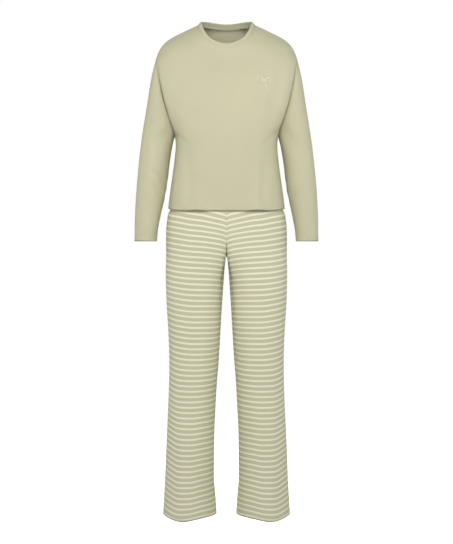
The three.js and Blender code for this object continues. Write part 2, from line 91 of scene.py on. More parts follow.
HEM_FLUTE_RISE = {"height": 0.002, "width": 0.021}

# Shoulder seam and neck
NECK_HALF_WIDTH = 0.086
NECK_DROP = {FRONT: 0.0805, BACK: 0.0005}
NECK_POWER = 1.25
NECK_STAND = {"height": 0.0035, "power": 2}
SHOULDER_SLOPE = 0.475
SHOULDER_BEND = {"drop": 0.0368, "power": 8}
SHOULDER_ROUNDING = {FRONT: 0.090, BACK: 0.034}
NECKBAND = {"width": 0.016, "cloth": 0.0024, "side": 42, FRONT: 18, BACK: 30}

# Armhole
ARMHOLE = {"half_depth": 0.060, "round": 2.4, "bow_fade": 0.3}
ARMHOLE_EASE = {"reach": 0.045, "power": 14}
ARMHOLE_MIDDLE_Z = (SHOULDER_TIP_Z + UNDERARM_Z) / 2
ARMHOLE_HALF_HEIGHT = (SHOULDER_TIP_Z - UNDERARM_Z) / 2

# The sleeve from the armhole to the cuff
SLEEVE = table(
    "along out_x out_z in_x in_z depth mid_y round",
    (0, 0.2095, SHOULDER_TIP_Z, 0.1545, UNDERARM_Z, 0.060, 0.003, 2.4),
    (0.1, 0.2245, -0.156, 0.1615, -0.357, 0.0635, 0.002, 2.3),
    (0.25, 0.2367, -0.232, 0.170, -0.408, 0.0615, 0.001, 2.2),
    (0.5, 0.2577, -0.370, 0.179, -0.487, 0.053, -0.003, 2.1),
    (0.75, 0.2705, -0.507, 0.196, -0.566, 0.044, -0.008, 2.05),
    (0.9, 0.274, -0.590, 0.2048, -0.613, 0.039, -0.011, 2),
    (1, 0.2743, -0.645, 0.2079, -0.645, 0.0365, -0.013, 2),
)

# The trouser leg and hip from the hem up
TROUSERS = table(
    "z outer inner front back round",
    (-1.463, 0.1913, 0.030, 0.084, 0.097, 1.85),
    (-1.422, 0.189, 0.032, 0.082, 0.095, 1.85),
    (-1.347, 0.1845, 0.0372, 0.079, 0.092, 1.9),
    (-1.242, 0.1805, 0.0366, 0.077, 0.089, 2),
    (-1.122, 0.175, 0.0315, 0.077, 0.086, 2.1),
    (-1.002, 0.172, 0.0234, 0.081, 0.086, 2.2),
    (-0.912, 0.175, 0.0178, 0.085, 0.089, 2.25),
    (-0.822, 0.1803, 0.0122, 0.090, 0.096, 2.35),
    (-0.732, 0.182, 0.0062, 0.097, 0.107, 2.45),
    (CROTCH_Z, 0.1808, CROTCH_RADIUS, 0.102, 0.113, 2.55),
    (-0.642, 0.1812, CROTCH_RADIUS, 0.107, 0.117, 2.65),
    (-0.600, 0.180, CROTCH_RADIUS, 0.110, 0.115, 2.65),
    (-0.575, 0.1772, CROTCH_RADIUS, 0.111, 0.1125, 2.65),
    (-0.557, 0.1743, CROTCH_RADIUS, 0.1112, 0.1105, 2.6),
    (SIDE_HEM_Z, 0.1718, CROTCH_RADIUS, 0.111, 0.109, 2.6),
    (-0.500, 0.161, CROTCH_RADIUS, 0.108, 0.102, 2.35),
    (TROUSER_TOP_Z, 0.144, CROTCH_RADIUS, 0.102, 0.097, 2.2),
    (WAISTBAND_TOP_Z, 0.134, CROTCH_RADIUS, 0.096, 0.092, 2.15),
)
LEG_HEM_Z = TROUSERS["z"][0]
OUTSEAM_Y = 0.004
CROTCH_CURVE = {"rise": 0.075, "round": 2.2}
HIP_BLEND = {"below": 0.120, "power": 4}
LEG_HEM_DIP = {"depth": 0.0107, "at": 0.39, "width": 0.21, "fade": 0.060}

# The trousers' stripes across: the middle of the first one at a leg's front, and the height of one
# repeat, which the hanging weight stretches towards the top
STRIPE = {"cream": 0.0052, "first_z": -1.4669, "hem_pitch": 0.01574, "hip_pitch": 0.01620, "hip_z": -0.573}
# How much higher than at the front ridge a stripe runs at shares of the way from outseam to inseam
STRIPE_SHARES = (0, 0.2, 0.35, 0.5, 0.68, 1)
STRIPE_LIFT = table(
    "z outseam outer ridge middle inner inseam",
    (-1.467, 0.014, 0.0048, -0.0012, 0.0027, 0.0101, 0.011),
    (-1.404, 0.016, 0.0072, -0.0018, -0.0008, 0.0063, 0.0105),
    (-1.261, 0.018, 0.0097, -0.0001, -0.0012, 0.0030, 0.005),
    (-1.102, 0.016, 0.0049, -0.0011, -0.0014, 0.0008, 0.006),
    (-0.959, 0.015, 0.0047, -0.0009, -0.0038, -0.0035, 0.002),
    (-0.815, 0.013, 0.0056, -0.0003, -0.0046, -0.0056, -0.0108),
    (-0.735, 0.011, 0.0042, -0.0011, -0.0046, -0.0077, -0.0158),
    (-0.638, 0.010, 0.0044, -0.0007, -0.0074, -0.0147, -0.0268),
    (-0.573, 0.010, 0.0038, -0.0011, -0.0098, -0.0205, -0.032),
    (-0.460, 0.010, 0.0038, -0.0011, -0.0098, -0.0205, -0.032),
)


def mix(low, high, share):
    return low + (high - low) * share


def clamp01(value):
    return min(1.0, max(0.0, value))


def smooth(share):
    share = clamp01(share)
    return share * share * (3 - 2 * share)


def power(value, exponent):
    return math.copysign(abs(value) ** exponent, value)


def slope_at(keys, values, i):
    """Slope of a column at row i, flat at a turning point so that the curve never overshoots."""
    def rise(k):
        return (values[k + 1] - values[k]) / (keys[k + 1] - keys[k])

    if i == 0:
        return rise(0)
    if i == len(keys) - 1:
        return rise(i - 1)
    before, after = rise(i - 1), rise(i)
    return 0.0 if before * after <= 0 else 2 * before * after / (before + after)


def read(sizes, column, at, key="z"):
    """A column of a table, read on a smooth curve through its rows."""
    keys, values = sizes[key], sizes[column]
    i = min(max(bisect.bisect_right(keys, at) - 1, 0), len(keys) - 2)
    span = keys[i + 1] - keys[i]
    t = clamp01((at - keys[i]) / span)
    between = mix(values[i], values[i + 1], t * t * (3 - 2 * t))
    low_slope = slope_at(keys, values, i) * span
    high_slope = slope_at(keys, values, i + 1) * span
    return between + low_slope * t * (1 - t) ** 2 - high_slope * t * t * (1 - t)


def measured(curve):
    """A function that gives a curve's parameter at a share of its length."""
    points = [curve(k / SAMPLES) for k in range(SAMPLES + 1)]
    lengths = [0.0]
    for before, after in zip(points, points[1:]):
        lengths.append(lengths[-1] + (after - before).length)

    def at(share):
        target = share * lengths[-1]
        k = min(max(bisect.bisect_left(lengths, target), 1), SAMPLES)
        return (k - 1 + (target - lengths[k - 1]) / (lengths[k] - lengths[k - 1])) / SAMPLES

    return at


def even(count, start=0.0, end=1.0):
    return [mix(start, end, k / count) for k in range(count + 1)]


# The top's body

SHOULDER_TIP_X = read(BODY, "half_width", SHOULDER_TIP_Z)


def shoulder_z(x):
    reach = abs(x) - NECK_HALF_WIDTH
    if reach <= 0:
        return SHOULDER_Z + SHOULDER_SLOPE * (NECK_HALF_WIDTH**2 - x * x) / (2 * NECK_HALF_WIDTH)
    bend = (reach / (SHOULDER_TIP_X - NECK_HALF_WIDTH)) ** SHOULDER_BEND["power"]
    return SHOULDER_Z - SHOULDER_SLOPE * reach - SHOULDER_BEND["drop"] * bend


def armhole_depth(z):
    share = min(1.0, abs(z - ARMHOLE_MIDDLE_Z) / ARMHOLE_HALF_HEIGHT)
    return ARMHOLE["half_depth"] * (1 - share ** ARMHOLE["round"]) ** (1 / ARMHOLE["round"])


def body_point(way, share, z):
    """A point of the top's body at a share of its half width."""
    x = share * read(BODY, "half_width", z)
    squareness = read(BODY, "round", z)
    below_seam = clamp01((shoulder_z(x) - z) / SHOULDER_ROUNDING[way])
    over_shoulder = math.sqrt(1 - (1 - below_seam) ** 2)
    off_middle = (z - ARMHOLE_MIDDLE_Z) / (ARMHOLE_HALF_HEIGHT + ARMHOLE_EASE["reach"])
    eased = ARMHOLE["half_depth"] * over_shoulder * max(0.0, 1 - off_middle**2)
    seam_y = SIDE_SEAM_Y + way * mix(eased, armhole_depth(z), abs(share) ** ARMHOLE_EASE["power"])
    across = max(0.0, 1 - abs(share) ** squareness) ** (1 / squareness)
    reach = read(BODY, "front" if way == FRONT else "back", z)
    y = seam_y + (way * reach - seam_y) * across * over_shoulder
    if way == FRONT:
        fade = (HEM_FLUTE["fade_to"] - z) / (HEM_FLUTE["fade_to"] - HEM_FLUTE["fade_from"])
        off_middle = (abs(x) - HEM_FLUTE["x"]) / HEM_FLUTE["width"]
        y -= HEM_FLUTE["lift"] * clamp01(fade) ** 2 * math.exp(-(off_middle**2))
    return Vector((x, y, z))


def shoulder_point(along):
    x = mix(NECK_HALF_WIDTH, SHOULDER_TIP_X, along)
    return Vector((x, SIDE_SEAM_Y, shoulder_z(x)))


NECK_SHARE = 6 / 14  # of half a panel's width, under the neckline
along_shoulder = measured(shoulder_point)
across_body = measured(lambda u: body_point(FRONT, math.sin(u * math.pi / 2), UNDERARM_Z))


def neck_z(way, angle):
    """The neck seam's height. Behind, it stands up slightly on each side of the middle."""
    stand = NECK_STAND["height"] * math.sin(2 * angle) ** NECK_STAND["power"] if way == BACK else 0
    return SHOULDER_Z - NECK_DROP[way] * max(0.0, math.cos(angle)) ** NECK_POWER + stand


def upper_end(way, column):
    """Where a column of the body ends: on the neckline, or else on the shoulder seam."""
    if column > NECK_SHARE:
        return shoulder_point(along_shoulder((column - NECK_SHARE) / (1 - NECK_SHARE)))
    angle = column / NECK_SHARE * math.pi / 2
    return Vector((NECK_HALF_WIDTH * math.sin(angle), 0, neck_z(way, angle)))


def armhole_share(row):
    """How far up the armhole a row lies, for a row from 0 to 1."""
    return (1 - power(math.cos(row * math.pi), 2 / ARMHOLE["round"])) / 2


def shoulder_share(way, row, height):
    turn_start = 1 - SHOULDER_ROUNDING[way] / height
    if row <= 0.5:
        return turn_start * row * 2
    return mix(turn_start, 1.0, math.sin((row * 2 - 1) * math.pi / 2))


BODY_NECK_COLUMNS, BODY_SHOULDER_COLUMNS = 26, 38
BODY_ROWS, ARMHOLE_ROWS = 42, 52
EDGE_GATHER = 1.35  # columns lie closer together towards the side seam


def body_columns():
    neck = even(BODY_NECK_COLUMNS, 0, NECK_SHARE)
    out = even(BODY_SHOULDER_COLUMNS)[1:]
    return neck + [mix(NECK_SHARE, 1, 1 - (1 - share) ** EDGE_GATHER) for share in out]


def body_column(way, column):
    share = math.sin(across_body(column) * math.pi / 2)
    hem_z = SIDE_HEM_Z - HEM_DIP[way] * (1 - share**HEM_DIP_POWER)
    if way == FRONT:
        off_flute = (share * read(BODY, "half_width", hem_z) - HEM_FLUTE["x"]) / HEM_FLUTE_RISE["width"]
        hem_z += HEM_FLUTE_RISE["height"] * math.exp(-(off_flute**2))
    end = upper_end(way, column)
    end_share = 1.0 if column == 1 else end.x / read(BODY, "half_width", end.z)
    points = [body_point(way, share, z) for z in even(BODY_ROWS, hem_z, UNDERARM_Z)[:-1]]
    for row in even(ARMHOLE_ROWS):
        inland = shoulder_share(way, row, end.z - UNDERARM_Z)
        rise = mix(inland, armhole_share(row), share ** ARMHOLE_EASE["power"])
        points.append(body_point(way, mix(share, end_share, rise), mix(UNDERARM_Z, end.z, rise)))
    return points


def mirrored(points):
    return [Vector((-p.x, p.y, p.z)) for p in points]


def body_grid(way):
    """A body panel's outer points, rows upwards and columns anticlockwise seen from above."""
    half = [body_column(way, column) for column in body_columns()]
    columns = [mirrored(points) for points in reversed(half[1:])] + half
    if way == BACK:
        columns.reverse()
    return [list(row) for row in zip(*columns)]


# The sleeves


def armhole_bow(share):
    straight = mix(SLEEVE["in_x"][0], SLEEVE["out_x"][0], share)
    return read(BODY, "half_width", mix(UNDERARM_Z, SHOULDER_TIP_Z, share)) - straight


def sleeve_point(along, angle):
    """A point of the right sleeve. The angle starts at the top of the arm and turns to the front."""
    def at(column):
        return read(SLEEVE, column, along, "along")

    outer = Vector((-at("out_x"), 0, at("out_z")))
    inner = Vector((-at("in_x"), 0, at("in_z")))
    across = power(math.cos(angle), 2 / at("round"))
    point = outer.lerp(inner, (1 - across) / 2)
    point.x -= armhole_bow((1 + across) / 2) * clamp01(1 - along / ARMHOLE["bow_fade"]) ** 2
    point.y = at("mid_y") + at("depth") * power(math.sin(angle), 2 / at("round"))
    return point


SLEEVE_ROWS = 100


def sleeve_grid(side):
    """A sleeve from the cuff up, opened along its underarm seam."""
    rows = []
    for along in even(SLEEVE_ROWS, 1, 0):
        row = [sleeve_point(along, math.pi - turn * math.tau) for turn in even(2 * ARMHOLE_ROWS)]
        rows.append(row if side == RIGHT else mirrored(reversed(row)))
    return rows


# The trousers


def trouser_point(way, angle, z):
    """A point of the trousers' right half. The angle runs from the outseam to the inner edge."""
    reach = read(TROUSERS, "front" if way == FRONT else "back", z) - way * OUTSEAM_Y
    outer, inner, squareness = (read(TROUSERS, name, z) for name in ("outer", "inner", "round"))
    leg_deep = max(0.0, math.sin(angle)) ** (2 / squareness)
    inner_share = (angle / math.pi) ** HIP_BLEND["power"]
    inseam_turn = 1 - math.sqrt(1 - clamp01((z - CROTCH_Z) / CROTCH_RADIUS + 1) ** 2)
    leg = mix(inner, outer, (1 + power(math.cos(angle), 2 / squareness)) / 2)
    x = leg - CROTCH_RADIUS * inseam_turn * inner_share**2
    hip_deep = max(0.0, 1 - (max(0.0, x) / outer) ** squareness) ** (1 / squareness)
    below = HIP_BLEND["below"] * (1 - inner_share)
    rise = clamp01((z - CROTCH_Z + below) / (CROTCH_CURVE["rise"] + below))
    centre_seam = (1 - (1 - rise) ** CROTCH_CURVE["round"]) ** (1 / CROTCH_CURVE["round"])
    hip_share = mix(rise * rise * (3 - 2 * rise), centre_seam, inner_share)
    return Vector((-x, OUTSEAM_Y + way * reach * mix(leg_deep, hip_deep, hip_share), z))


LEG_ROWS, INSEAM_ROWS, CROTCH_ROWS, HIP_ROWS = 118, 6, 20, 26
LEG_COLUMNS = 52


def trouser_heights():
    round_z = CROTCH_Z - CROTCH_RADIUS
    legs = even(LEG_ROWS, LEG_HEM_Z, round_z)[:-1]
    inseam = [round_z + CROTCH_RADIUS * math.sin(k * math.pi / 2) for k in even(INSEAM_ROWS)][:-1]
    curve = [CROTCH_Z + CROTCH_CURVE["rise"] * k**2 for k in even(CROTCH_ROWS)][:-1]
    return legs + inseam + curve + even(HIP_ROWS, CROTCH_Z + CROTCH_CURVE["rise"], TROUSER_TOP_Z)


def leg_angles():
    """Angles across a panel, closer together towards both seams."""
    return [math.pi * (k - math.sin(k * math.tau) / math.tau * 0.35) for k in even(LEG_COLUMNS)]


def stripe_lifts(z):
    """How much higher a stripe runs at shares of a front panel's width, at one height."""
    columns = ("outseam", "outer", "ridge", "middle", "inner", "inseam")
    return {"share": STRIPE_SHARES, "lift": [read(STRIPE_LIFT, column, z) for column in columns]}


def stripe_course(way, share, z, lifts):
    """How far up the cloth a point lies, in whole stripes. The back runs level between its seams."""
    if way == FRONT:
        lift = read(lifts, "lift", share, "share")
    else:
        outseam, inseam = lifts["lift"][0], lifts["lift"][-1]
        lift = outseam * max(0.0, 1 - 2 * share) ** 1.4 + inseam * max(0.0, 2 * share - 1) ** 1.4
    up = z - lift - STRIPE["first_z"]
    growth = (STRIPE["hip_pitch"] - STRIPE["hem_pitch"]) / (STRIPE["hip_z"] - STRIPE["first_z"])
    return math.log(1 + growth * up / STRIPE["hem_pitch"]) / growth


def trouser_grid(way, side):
    """A trouser panel's outer points, and each point's course of the stripes."""
    points, courses = [], []
    for z in trouser_heights():
        fade = smooth(1 - (z - LEG_HEM_Z) / LEG_HEM_DIP["fade"])
        lifts = stripe_lifts(z)
        row, marks = [], []
        for angle in leg_angles():
            point = trouser_point(way, angle, z)
            off_lowest = (angle / math.pi - LEG_HEM_DIP["at"]) / LEG_HEM_DIP["width"]
            point.z -= LEG_HEM_DIP["depth"] * fade * math.exp(-(off_lowest**2))
            marks.append(stripe_course(way, angle / math.pi, point.z, lifts))
            row.append(point)
        if side == LEFT:
            row = mirrored(row)
        if way * side == BACK * RIGHT or way * side == FRONT * LEFT:
            row.reverse()
            marks.reverse()
        points.append(row)
        courses.append(marks)
    return points, courses


# Folds


def curve_through(points, closed=False, steps=14):
    """A smooth line through points, as a Catmull-Rom curve."""
    count = len(points)
    last = count if closed else count - 1
    line = []
    for k in range(last):
        around = [points[(k + d) % count if closed else min(max(k + d, 0), count - 1)] for d in (-1, 0, 1, 2)]
        before, start, end, after = (Vector(p) for p in around)
        for t in even(steps)[:-1]:
            line.append(
                0.5 * (2 * start + (end - before) * t + (2 * before - 5 * start + 4 * end - after) * t**2
                       + (3 * start - before - 3 * end + after) * t**3)
            )
    line.append(Vector(points[0 if closed else -1]))
    return line


def on_body(way):
    return lambda x, z: body_point(way, x / read(BODY, "half_width", z), z)


def on_sleeve(side):
    """The sleeve's surface by the way along it and round it: 0 at the top, a quarter in front."""
    def surface(along, turn):
        point = sleeve_point(along, turn * math.tau)
        return point if side == RIGHT else Vector((-point.x, point.y, point.z))
    return surface


def on_leg(way, side):
    """The trousers' surface by the share across a panel, from the outseam, and the height."""
    def surface(share, z):
        point = trouser_point(way, share * math.pi, z)
        return point if side == RIGHT else Vector((-point.x, point.y, point.z))
    return surface


class Folds:
    """Soft troughs and ridges along smooth lines on the cloth."""

    def __init__(self, folds):
        """Each fold is a surface, a width and its places: two coordinates there and the height."""
        self.samples = []
        self.widths = []
        for surface, width, places in folds:
            for across, up, height in curve_through(places, steps=FOLD_STEPS):
                self.samples.append((surface(across, up), height, len(self.widths)))
            self.widths.append(width)
        self.reach = max(self.widths) * FOLD_REACH
        self.tree = kdtree.KDTree(len(self.samples))
        for k, (point, _, _) in enumerate(self.samples):
            self.tree.insert(point, k)
        self.tree.balance()

    def height(self, point):
        """How far out the folds move the cloth at a point."""
        nearest = {}
        for _, k, distance in self.tree.find_range(point, self.reach):
            fold = self.samples[k][2]
            if fold not in nearest or distance < nearest[fold][0]:
                nearest[fold] = (distance, self.samples[k][1])
        return sum(h * math.exp(-((d / self.widths[fold]) ** 2)) for fold, (d, h) in nearest.items())


FOLD_STEPS, FOLD_REACH = 24, 2.4

TOP_FOLDS = Folds([
    # The front, from the armholes, under the arms and down to the hem
    (on_body(FRONT), 0.016, (
        (-0.184, -0.205, 0), (-0.155, -0.240, -0.0040), (-0.120, -0.268, -0.0035), (-0.080, -0.280, 0),
    )),
    (on_body(FRONT), 0.021, (
        (0.178, -0.120, 0), (0.158, -0.170, -0.0045), (0.142, -0.225, -0.0060),
        (0.126, -0.295, -0.0030), (0.118, -0.345, 0),
    )),
    (on_body(FRONT), 0.011, (
        (-0.168, -0.312, 0), (-0.140, -0.342, -0.0035), (-0.112, -0.362, -0.0020), (-0.090, -0.372, 0),
    )),
    (on_body(FRONT), 0.012, (
        (0.168, -0.308, 0), (0.142, -0.330, -0.0030), (0.118, -0.358, -0.0030), (0.104, -0.392, 0),
    )),
    (on_body(FRONT), 0.015, (
        (-0.112, -0.365, 0), (-0.112, -0.420, -0.0035), (-0.110, -0.480, -0.0045),
        (-0.108, -0.540, -0.0025),
    )),
    (on_body(FRONT), 0.014, (
        (0.104, -0.400, 0), (0.112, -0.450, -0.0040), (0.110, -0.505, -0.0040),
        (0.107, -0.545, -0.0020),
    )),
    (on_body(FRONT), 0.013, ((-0.034, -0.480, 0), (-0.038, -0.515, -0.0012), (-0.040, -0.555, -0.0015))),
    (on_body(FRONT), 0.026, (
        (0.004, -0.200, 0), (-0.004, -0.280, 0.0025), (0.002, -0.370, 0.0025), (0.010, -0.440, 0),
    )),
    # The back
    (on_body(BACK), 0.020, (
        (-0.150, -0.130, 0), (-0.118, -0.215, -0.0045), (-0.098, -0.330, -0.0055),
        (-0.090, -0.470, -0.0020), (-0.088, -0.545, 0),
    )),
    (on_body(BACK), 0.022, (
        (0.146, -0.145, 0), (0.112, -0.240, -0.0055), (0.086, -0.350, -0.0045), (0.080, -0.450, 0),
    )),
    (on_body(BACK), 0.018, (
        (0.012, -0.290, 0), (0.004, -0.370, -0.0040), (-0.004, -0.460, -0.0045),
        (-0.006, -0.540, -0.0010),
    )),
    (on_body(BACK), 0.013, (
        (-0.172, -0.300, 0), (-0.142, -0.345, -0.0040), (-0.122, -0.400, -0.0030), (-0.116, -0.450, 0),
    )),
    (on_body(BACK), 0.013, (
        (0.170, -0.296, 0), (0.138, -0.338, -0.0035), (0.112, -0.376, -0.0035), (0.092, -0.420, 0),
    )),
    (on_body(BACK), 0.014, ((0.128, -0.430, 0), (0.132, -0.480, -0.0030), (0.130, -0.535, -0.0010))),
    # The right sleeve: the underarm crease, the hollow beside the armhole, the elbow, the back
    (on_sleeve(RIGHT), 0.009, (
        (0.00, 0.49, 0), (0.09, 0.43, -0.0045), (0.18, 0.37, -0.0035), (0.26, 0.31, 0),
    )),
    (on_sleeve(RIGHT), 0.021, (
        (0.00, 0.27, 0), (0.09, 0.28, -0.0070), (0.20, 0.29, -0.0065), (0.36, 0.31, 0),
    )),
    (on_sleeve(RIGHT), 0.011, (
        (0.43, 0.52, 0), (0.47, 0.43, -0.0030), (0.50, 0.35, -0.0020), (0.53, 0.27, 0),
    )),
    (on_sleeve(RIGHT), 0.010, (
        (0.53, 0.53, 0), (0.57, 0.44, -0.0028), (0.59, 0.38, -0.0015), (0.60, 0.32, 0),
    )),
    (on_sleeve(RIGHT), 0.016, (
        (0.04, 0.60, 0), (0.14, 0.66, -0.0050), (0.26, 0.72, -0.0045), (0.40, 0.78, 0),
    )),
    (on_sleeve(RIGHT), 0.011, (
        (0.44, 0.55, 0), (0.46, 0.63, -0.0038), (0.49, 0.70, -0.0025), (0.53, 0.78, 0),
    )),
    (on_sleeve(RIGHT), 0.010, (
        (0.55, 0.55, 0), (0.57, 0.62, -0.0030), (0.59, 0.69, -0.0030), (0.60, 0.76, 0),
    )),
    (on_sleeve(RIGHT), 0.013, (
        (0.68, 0.86, 0), (0.74, 0.76, -0.0025), (0.82, 0.70, -0.0022), (0.90, 0.66, 0),
    )),
    (on_sleeve(RIGHT), 0.012, (
        (0.70, 0.12, 0), (0.77, 0.20, -0.0015), (0.86, 0.26, -0.0012), (0.92, 0.28, 0),
    )),
    # The left sleeve
    (on_sleeve(LEFT), 0.010, (
        (0.00, 0.49, 0), (0.08, 0.42, -0.0040), (0.16, 0.37, -0.0042), (0.27, 0.33, 0),
    )),
    (on_sleeve(LEFT), 0.022, (
        (0.00, 0.26, 0), (0.10, 0.27, -0.0072), (0.21, 0.29, -0.0060), (0.35, 0.32, 0),
    )),
    (on_sleeve(LEFT), 0.010, (
        (0.45, 0.52, 0), (0.48, 0.44, -0.0028), (0.51, 0.37, -0.0022), (0.55, 0.29, 0),
    )),
    (on_sleeve(LEFT), 0.012, (
        (0.57, 0.52, 0), (0.60, 0.45, -0.0022), (0.63, 0.37, -0.0018), (0.65, 0.30, 0),
    )),
    (on_sleeve(LEFT), 0.017, (
        (0.05, 0.61, 0), (0.15, 0.67, -0.0045), (0.29, 0.71, -0.0050), (0.42, 0.76, 0),
    )),
    (on_sleeve(LEFT), 0.010, (
        (0.46, 0.56, 0), (0.48, 0.64, -0.0032), (0.51, 0.72, -0.0032), (0.54, 0.80, 0),
    )),
    (on_sleeve(LEFT), 0.011, (
        (0.57, 0.56, 0), (0.60, 0.63, -0.0034), (0.62, 0.70, -0.0020), (0.64, 0.75, 0),
    )),
    (on_sleeve(LEFT), 0.012, (
        (0.66, 0.15, 0), (0.74, 0.22, -0.0015), (0.83, 0.25, -0.0012), (0.90, 0.24, 0),
    )),
])

TROUSER_FOLDS = Folds([
    # The front ridge of each leg, down to its hem
    (on_leg(FRONT, RIGHT), 0.013, (
        (0.40, -1.120, 0), (0.40, -1.230, 0.0025), (0.39, -1.350, 0.0035), (0.385, -1.463, 0.0035),
    )),
    (on_leg(FRONT, LEFT), 0.013, (
        (0.40, -1.140, 0), (0.395, -1.250, 0.0028), (0.39, -1.360, 0.0032), (0.385, -1.463, 0.0035),
    )),
    # Creases that run out from the fork
    (on_leg(FRONT, RIGHT), 0.012, (
        (0.95, -0.664, 0), (0.86, -0.648, -0.0028), (0.74, -0.622, -0.0020), (0.62, -0.604, 0),
    )),
    (on_leg(FRONT, LEFT), 0.012, (
        (0.95, -0.668, 0), (0.85, -0.654, -0.0025), (0.73, -0.634, -0.0022), (0.60, -0.620, 0),
    )),
    (on_leg(FRONT, RIGHT), 0.012, (
        (0.93, -0.700, 0), (0.90, -0.745, -0.0030), (0.89, -0.800, -0.0025), (0.88, -0.880, 0),
    )),
    (on_leg(FRONT, LEFT), 0.012, (
        (0.93, -0.705, 0), (0.91, -0.755, -0.0030), (0.89, -0.820, -0.0022), (0.88, -0.890, 0),
    )),
    # The knees, hardly seen in front
    (on_leg(FRONT, RIGHT), 0.014, (
        (0.92, -0.965, 0), (0.80, -0.985, -0.0016), (0.66, -0.995, -0.0010), (0.55, -0.998, 0),
    )),
    (on_leg(FRONT, LEFT), 0.014, (
        (0.92, -0.980, 0), (0.82, -0.998, -0.0014), (0.68, -1.010, -0.0012), (0.56, -1.015, 0),
    )),
    # Under the seat
    (on_leg(BACK, RIGHT), 0.016, (
        (0.96, -0.690, 0), (0.84, -0.712, -0.0050), (0.66, -0.738, -0.0050), (0.46, -0.752, -0.0025),
        (0.30, -0.756, 0),
    )),
    (on_leg(BACK, LEFT), 0.016, (
        (0.96, -0.694, 0), (0.82, -0.720, -0.0055), (0.64, -0.748, -0.0042), (0.42, -0.760, 0),
    )),
    (on_leg(BACK, RIGHT), 0.013, (
        (0.92, -0.735, 0), (0.80, -0.768, -0.0035), (0.66, -0.800, -0.0025), (0.54, -0.820, 0),
    )),
    (on_leg(BACK, LEFT), 0.013, (
        (0.93, -0.740, 0), (0.83, -0.775, -0.0030), (0.70, -0.815, -0.0030), (0.60, -0.850, 0),
    )),
    # Behind the knees
    (on_leg(BACK, RIGHT), 0.013, (
        (0.90, -1.000, 0), (0.74, -1.020, -0.0040), (0.55, -1.022, -0.0035), (0.34, -1.008, 0),
    )),
    (on_leg(BACK, RIGHT), 0.012, (
        (0.84, -1.062, 0), (0.68, -1.072, -0.0030), (0.50, -1.066, -0.0025), (0.36, -1.052, 0),
    )),
    (on_leg(BACK, LEFT), 0.013, (
        (0.91, -1.010, 0), (0.76, -1.026, -0.0034), (0.56, -1.034, -0.0040), (0.36, -1.030, 0),
    )),
    (on_leg(BACK, LEFT), 0.012, (
        (0.82, -1.078, 0), (0.66, -1.084, -0.0032), (0.50, -1.076, -0.0018), (0.40, -1.066, 0),
    )),
    # The back of each leg falls in one soft ridge
    (on_leg(BACK, RIGHT), 0.020, (
        (0.50, -1.110, 0), (0.49, -1.220, 0.0035), (0.48, -1.350, 0.0045), (0.48, -1.463, 0.0040),
    )),
    (on_leg(BACK, LEFT), 0.020, (
        (0.51, -1.120, 0), (0.50, -1.240, 0.0040), (0.49, -1.360, 0.0042), (0.48, -1.463, 0.0040),
    )),
    (on_leg(BACK, RIGHT), 0.018, (
        (0.76, -1.160, 0), (0.77, -1.260, -0.0030), (0.76, -1.380, -0.0035), (0.75, -1.463, -0.0030),
    )),
    (on_leg(BACK, LEFT), 0.018, (
        (0.75, -1.180, 0), (0.76, -1.290, -0.0032), (0.76, -1.390, -0.0030), (0.75, -1.463, -0.0030),
    )),
])

UNEVEN = {"height": 0.0007, "across": 0.075, "up": 0.130, "neck_clear": 0.115, "neck_fade": 0.060}
NECK_MIDDLE = Vector((0, 0, SHOULDER_Z - 0.02))


def unevenness(point):
    """The slight waviness of cloth that hangs."""
    from_neck = ((point - NECK_MIDDLE).length - UNEVEN["neck_clear"]) / UNEVEN["neck_fade"]
    across, up = UNEVEN["across"], UNEVEN["up"]
    place = Vector((point.x / across, point.y / across, point.z / up))
    return UNEVEN["height"] * smooth(from_neck) * noise.noise(place)


def top_relief(point):
    return TOP_FOLDS.height(point) + unevenness(point)


FORK_HOLD = {"above": 0.100, "below": 0.045, "width": 0.012}
HIDDEN_TOP = {"from_z": -0.566, "to_z": -0.548, "depth": 0.004}  # the trousers, drawn in under the hem


def trouser_relief(point):
    under_hem = (point.z - HIDDEN_TOP["from_z"]) / (HIDDEN_TOP["to_z"] - HIDDEN_TOP["from_z"])
    return TROUSER_FOLDS.height(point) + unevenness(point) - HIDDEN_TOP["depth"] * smooth(under_hem)


def fork_hold(point):
    """Falls to 0 beside the centre seam near the fork, so that the two legs stay together there."""
    reach = FORK_HOLD["above"] if point.z > CROTCH_Z else FORK_HOLD["below"]
    near = smooth(1.5 - 1.5 * abs(point.z - CROTCH_Z) / reach)
    return 1 - near * math.exp(-((point.x / FORK_HOLD["width"]) ** 2))


# Making cloth from grids of points


def normals_of(points, around=False):
    """Outward normals of a grid: rows upwards, columns anticlockwise seen from above."""
    rows, columns = len(points), len(points[0])
    normals = []
    for i in range(rows):
        above, below = points[min(i + 1, rows - 1)], points[max(i - 1, 0)]
        row = []
        for j in range(columns):
            right = (j + 1) % columns if around else min(j + 1, columns - 1)
            left = (j - 1) % columns if around else max(j - 1, 0)
            across = points[i][right] - points[i][left]
            row.append(across.cross(above[j] - below[j]).normalized())
        normals.append(row)
    return normals


def lengths_along(line):
    """Each point's distance from the line's start."""
    total, lengths = 0.0, [0.0]
    for before, after in zip(line, line[1:]):
        total += (after - before).length
        lengths.append(total)
    return lengths


def walk(line, distance):
    """The point that far along a line."""
    for before, after in zip(line, line[1:]):
        step = (after - before).length
        if distance <= step:
            return before.lerp(after, distance / step if step else 0)
        distance -= step
    return line[-1].copy()


